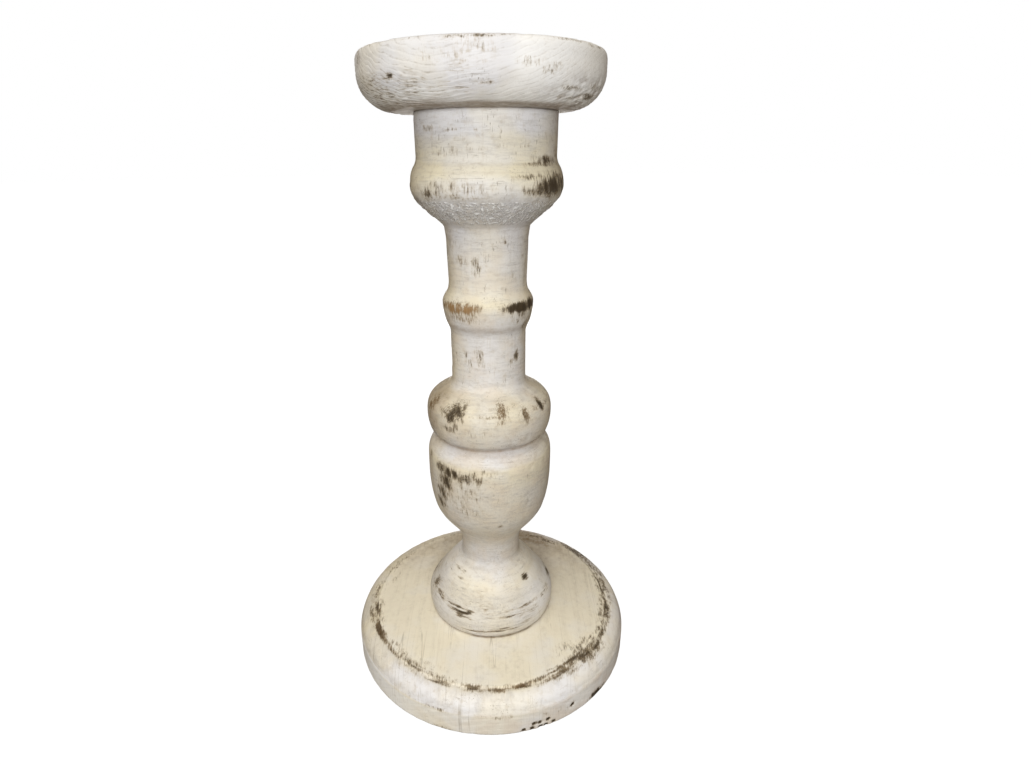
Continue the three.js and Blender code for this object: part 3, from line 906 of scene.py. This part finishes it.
def plate_outline():
    """Dowel hole, flat underside, rounded side, narrow rim and the shallow dish."""
    dowel_high = box_mm("plate_dowel")[1]
    hole, hole_top = dowel_high[0] + GAP, dowel_high[2] + GAP
    flat, side_level, rim_round, rim_inner, lip = 38, 297, 2.4, RIM_INNER_RADIUS, 1.2
    o = Outline(0, hole_top)
    o.line(hole, hole_top).line(hole, SPINDLE_TOP).line(flat, SPINDLE_TOP)
    o.arc((flat, side_level), (PLATE_RADIUS - flat, side_level - SPINDLE_TOP), -90, 0)
    o.line(PLATE_RADIUS, PLATE_TOP - rim_round - 2)
    o.bend((PLATE_RADIUS, PLATE_TOP), (PLATE_RADIUS - rim_round, PLATE_TOP))
    o.line(rim_inner + lip, PLATE_TOP).bend((rim_inner, PLATE_TOP), (rim_inner, PLATE_TOP - lip))
    return o.line(rim_inner - 0.8, DISH_FLOOR).line(0, DISH_FLOOR)


PLATE_RING_SPACING = 1.7
PLATE_SCUFFS = [  # azimuth, level, half widths around and across, strength
    (1, 304.2, 5, 0.5, 0.55), (-8, 304, 4, 0.5, 0.5), (9, 304.4, 3, 0.4, 0.4),
    (-28, 304.2, 5, 0.4, 0.3), (40, 304.3, 7, 0.5, 0.4), (58, 303.8, 5, 0.6, 0.5),
    (-66, 301, 2.5, 3, 0.5), (20, 296.4, 5, 1.6, 0.3), (31, 294.2, 5, 1.8, 0.3),
    (2, 289.4, 3, 0.6, 0.5), (-2, 301, 6, 2.5, 0.3), (-6, 296, 8, 3, 0.25),
    (-40, 293, 1.4, 0.9, 0.9), (-43, 291.5, 1.2, 0.8, 0.9), (-34, 289.2, 3, 0.8, 0.5),
    (-52, 287, 9, 2, 0.4), (-56, 292, 9, 3, 0.32), (-30, 290, 9, 3.5, 0.3), (-14, 288, 8, 2, 0.3),
    (-20, 298, 7, 3, 0.2), (44, 288.6, 5, 0.7, 0.4), (50, 285.6, 7, 0.5, 0.4),
    (62, 286.6, 5, 0.8, 0.7), (58, 290, 4, 0.7, 0.4),
]


def hole_shift(profile):
    """The dowel's hole is on the spindle's axis, so the flat underside takes up the offset."""
    inner = 1 - smoothstep(6, 37, profile[:, 0])
    return np.where(profile[:, 1] < DISH_FLOOR - 0.5, -PLATE_CENTRE_X * inner, 0)


def plate_rub(t, rim, in_dish):
    """The placed scuffs, seeded ones on the far side, and the worn rim."""
    table = PLATE_SCUFFS + seeded_scuffs(9, 12, (303.6, 290.0), 6, 0.9)
    rub = scuffs(t, t.level, table, streak=(4.5, 1.6), slant=0.2)
    worn = rim * np.clip(0.5 * fractal(t.points, 9, 3, 31), 0, 0.6)
    return np.maximum(rub, worn) * ~in_dish


def plate_coat(t, in_dish, rough, creased):
    """Soil, tone and shade: a fresh, cool coat, cream in places, dirty in creases, painted shadow
    below.
    """
    soil_and_shade = strongest(
        0.6 * band(t.radius, RIM_INNER_RADIUS - 0.8, 0.8) * in_dish,
        # browner under the plate and low on the left: painted shadow
        0.8 * t.fade(284.4, 283.2) * (t.radius > 20),
        0.6 * t.fade(286, 283.6) * t.sector(-110, -25, 20),
        0.6 * rough * smoothstep(0.05, 0.5, -creased),
    )
    aside = np.abs(t.azimuth)
    edge = smoothstep(20, 36, t.radius) * ~in_dish
    tone = 0.05 + 0.2 * t.fade(292, 284) + 0.3 * in_dish + 0.25 * edge * smoothstep(30, 70, aside)
    tone += 0.5 * band(t.azimuth, 50, 14) * t.fade(290, 295)
    shade = 0.2 * t.fade(298, 288) * t.sector(-130, -50, 40)
    # lighter to the sides: painted light
    shade -= 0.55 * smoothstep(0, 30, aside) + 0.6 * t.sector(25, 140, 25)
    # lighter low on the side: painted light
    shade = edge * shade - 0.1 - 0.45 * t.fade(291, 286) * edge
    return dict(soil_and_shade=soil_and_shade, tone=tone, shade=shade)


def plate_relief(t, rings, strength, in_dish, rim, rub, rough, creased):
    """Carving: ring ridges, the rough patch, chips and wear."""
    p, outer = t.points, smoothstep(36, 42, t.radius)
    rise = ridge(rings, PLATE_RING_SPACING) - 0.5
    broken = np.clip(0.75 + 0.9 * noise(p, (9, 7, 5), 33), 0.1, 1.4)
    relief = 0.14 * noise(p, 40, 32)
    relief += 0.32 * strength * rise * broken * outer + 0.10 * rise * in_dish
    relief += 0.6 * rough * creased
    relief -= 0.3 * smoothstep(0.4, 0.8, noise(p, 4.5, 35)) * rim
    return relief - (0.12 + 0.2 * smoothstep(0, 0.8, noise(p, 2.5, 36))) * rub


def plate():
    """The candle plate, with its grain running across and its rings strongest at the left."""
    side = lambda p: np.where(p[:, 0] > 36, 1.0, 0.22)
    t = Turning(plate_outline(), 190, 500, side, PLATE_CENTRE_X, hole_shift)
    in_dish = (t.radius < RIM_INNER_RADIUS) & (t.level > DISH_FLOOR - 0.5)
    outer = smoothstep(36, 42, t.radius)
    rings = pith_distance(t.points, (10, 18, 226), (1, -0.22, 0.02))
    rings += 0.7 * noise(t.points, (5, 3.2, 3.2), 74)
    strength = 0.35 + 0.65 * t.sector(-130, -60, 60)
    strength *= 0.55 + 0.45 * t.fade(297, 291)
    rough = band(t.azimuth, 58, 26) * t.fade(296, 288)
    creased = fractal(t.points, (3.2, 3.2, 1.8), 2, 34)
    rim = band(t.level, PLATE_TOP - 0.6, 1.0) * (t.radius > RIM_INNER_RADIUS + 3)
    rub = plate_rub(t, rim, in_dish)
    coat = plate_coat(t, in_dish, rough, creased)
    relief = plate_relief(t, rings, strength, in_dish, rim, rub, rough, creased)
    t.carve(np.where((t.radius < 34) & ~in_dish, 0, relief))
    paint = painted_wood(
        "plate_paint", (9, 0.8, 0.8), (0.7, 0.7, 3.0), (9, 4, 1.8), PLATE_RING_SPACING
    )
    piece = t.build(
        "turned_plate", paint, rub=rub, tan=np.zeros_like(rub), rings=rings, blush=0.06 * outer,
        lay=t.fade(298, 294) * t.sector(-150, -10, 20),
        grain=np.clip(0.1 + 0.9 * strength**1.5, 0, 1) * outer, **coat,
    )
    return piece, "candle_plate", "painted_plate"


# ------------------------------------ fasteners and feet

def plate_dowel():
    """Hardwood pin with straight glue flutes and chamfered ends."""
    low, high = box_mm("plate_dowel")
    radius, chamfer, flutes = high[0], 1.0, 14
    o = Outline(0, low[2])
    o.line(radius - chamfer, low[2]).line(radius, low[2] + chamfer)
    o.line(radius, high[2] - chamfer).line(radius - chamfer, high[2]).line(0, high[2])
    t = Turning(o, 60, 168)
    flute = 0.5 + 0.5 * np.cos(np.radians(t.azimuth * flutes))
    t.carve(-0.35 * flute**3 * (1 - t.steep))
    return t.build("fluted_dowel", beech()), "plate_dowel", "bare_dowel"


def base_screw():
    """Pan-head screw with a cross recess and a true helical thread."""
    low, high = box_mm("base_screw")
    head_radius, seat, point = high[0], low[2] + 3.2, high[2]
    shank, core, crest, pitch, shank_end = 2.2, 1.7, 2.5, 2.4, low[2] + 15.2
    o = Outline(0, low[2])
    o.line(head_radius - 2, low[2]).bend((head_radius, low[2]), (head_radius, seat - 0.8))
    o.line(head_radius, seat).line(shank, seat).line(shank, shank_end)
    o.line(core, shank_end + 1).line(core, point - 5).line(0.05, point).line(0, point)
    t = Turning(o, 420, 72)
    turn = ((t.level - shank_end) / pitch - t.azimuth / 360) % 1
    thread = (crest - core) * np.clip(1 - np.abs(turn - 0.5) / 0.22, 0, 1)
    taper = smoothstep(shank_end, shank_end + 2, t.level)
    taper *= smoothstep(point - 0.5, point - 6, t.level)
    slit = lambda a, b: smoothstep(0.62, 0.45, np.abs(a)) * smoothstep(2.4, 2.1, np.abs(b))
    x, y = t.points[:, 0], t.points[:, 1]
    recess = np.maximum(slit(x, y), slit(y, x))
    t.carve(thread * taper)
    t.points[:, 2] += 1.7 * recess * (t.level < low[2] + 0.4)
    return t.build("threaded_screw", zinc_steel("screw_zinc")), "base_screw", "zinc_steel"


def base_washer():
    """Flat washer with rounded edges."""
    low, high = box_mm("base_washer")
    bore, edge = SCREW_HOLE_RADIUS, 0.25
    o = Outline(bore, low[2] + edge)
    o.bend((bore, low[2]), (bore + edge, low[2])).line(high[0] - edge, low[2])
    o.bend((high[0], low[2]), (high[0], low[2] + edge)).line(high[0], high[2] - edge)
    o.bend((high[0], high[2]), (high[0] - edge, high[2])).line(bore + edge, high[2])
    o.bend((bore, high[2]), (bore, high[2] - edge)).line(bore, low[2] + edge)
    piece = Turning(o, 80, 96).build("flat_washer", zinc_steel("washer_zinc"))
    return piece, "base_washer", "zinc_steel"


def felt_pad(number, finish):
    """A punched felt disc, with a slightly fuzzy, rounded edge."""
    node = f"felt_pad_{number}"
    low, high = box_mm(node)
    radius, centre, soft = (high[0] - low[0]) / 2, (low + high) / 2, 0.45
    o = Outline(0, low[2])
    o.line(radius - soft, low[2]).bend((radius, low[2]), (radius, low[2] + soft))
    o.line(radius, high[2] - soft).bend((radius, high[2]), (radius - soft, high[2]))
    o.line(0, high[2])
    t = Turning(o, 60, 120)
    edge = smoothstep(radius - 1.5, radius - 0.4, t.radius)
    t.carve(0.12 * edge * (fractal(t.points, 0.9, 2, 40 + number) - 0.8))
    t.points[:, :2] += centre[:2]
    return t.build(f"felt_disc_{number}", finish), node, "felt"


felt_finish = felt("felt_fibre")
made = [base_board(), spindle(), plate(), plate_dowel(), base_screw(), base_washer()]
made += [felt_pad(number, felt_finish) for number in (1, 2, 3, 4)]
for piece, node, slot in made:
    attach(piece, BODY)
    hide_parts(node)


# ------------------------------------ studio

def floor():
    """A wide disc that glows nearly white, so that the shadows on it stay faint."""
    segments, radius = 96, 8.0
    turn = np.arange(segments) * 2 * math.pi / segments
    ring = np.column_stack([radius * np.cos(turn), radius * np.sin(turn), np.zeros(segments)])
    mesh = bpy.data.meshes.new("floor")
    mesh.from_pydata(ring.tolist(), [], [list(range(segments))])
    s = Shader("floor_pale")
    s.surface.inputs["Emission Color"].default_value = (1, 1, 1, 1)
    mesh.materials.append(
        s.finish(display(95, 94, 93), 0.8, Specular_IOR_Level=0.0, Emission_Strength=0.97)
    )
    disc = add_object("floor", mesh)
    disc.visible_diffuse = False
    disc.visible_glossy = False
    disc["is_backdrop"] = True


def aim(lamp, place, target):
    """Puts a lamp at a place and points it at a target."""
    lamp.location = place
    lamp.rotation_euler = (Vector(target) - Vector(place)).to_track_quat("-Z", "Y").to_euler()


def area_light(name, place, target, size, watts, colour):
    light = bpy.data.lights.new(name, "AREA")
    light.shape = "DISK"
    light.size, light.energy, light.color = size, watts, colour
    lamp = add_object(name, light)
    lamp.visible_camera = False
    aim(lamp, place, target)


def sun_light(name, place, strength, spread, colour):
    light = bpy.data.lights.new(name, "SUN")
    light.energy, light.angle, light.color = strength, math.radians(spread), colour
    aim(add_object(name, light), place, (0, 0, 0))


def room():
    """A dim, warm room around the object, which the camera sees as plain white."""
    world = bpy.data.worlds.new("room")
    bpy.context.scene.world = world
    world.use_nodes = True
    nodes, links = world.node_tree.nodes, world.node_tree.links
    ambient = nodes["Background"]
    ambient.inputs["Color"].default_value = (1.0, 0.86, 0.69, 1)
    ambient.inputs["Strength"].default_value = 0.14
    seen = nodes.new("ShaderNodeBackground")
    seen.inputs["Color"].default_value = (1, 1, 1, 1)
    path = nodes.new("ShaderNodeLightPath")
    mix = nodes.new("ShaderNodeMixShader")
    links.new(path.outputs["Is Camera Ray"], mix.inputs["Fac"])
    links.new(ambient.outputs["Background"], mix.inputs[1])
    links.new(seen.outputs["Background"], mix.inputs[2])
    links.new(mix.outputs["Shader"], nodes["World Output"].inputs["Surface"])


def lights():
    """A soft light behind the camera, one behind the object, one overhead, and one on each side."""
    area_light("key", (-0.015, -0.50, 0.28), (0, 0, 0.14), 0.22, 2.05, (0.97, 0.99, 1.03))
    area_light("back_fill", (0.0, 0.80, 0.05), (0, 0, 0.15), 0.5, 3.6, (1, 0.97, 0.93))
    sun_light("overhead", (-0.2, -0.35, 1), 1.5, 50, (1, 0.98, 0.94))
    for name, x in (("side_left", -0.9), ("side_right", 0.9)):
        sun_light(name, (x, 0.45, 0.1), 0.17, 40, (1, 0.82, 0.64))


def camera():
    """The photograph's viewpoint: a phone held close and tilted down, a little off level."""
    lens, sensor, sideways_shift = 21.1775, 36.0, 0.0205
    pitch, roll = 20.75, -0.44
    data = bpy.data.cameras.new("camera")
    data.lens = lens
    data.sensor_width = sensor
    data.shift_x = sideways_shift
    data.clip_start = 0.01
    eye = add_object("camera", data)
    eye.location = (0.0028, -0.2905, 0.2660)
    level = Euler((math.radians(90 - pitch), 0, 0)).to_matrix()
    eye.rotation_euler = (level @ Matrix.Rotation(math.radians(roll), 3, "Z")).to_euler()
    bpy.context.scene.camera = eye


floor()
room()
lights()
camera()
bpy.context.scene.view_settings.view_transform = "Standard"

plain = lambda bounds: [[float(value) for value in corner] for corner in bounds]
{"cad": plain(cad_bounds), "visual": plain(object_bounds())}
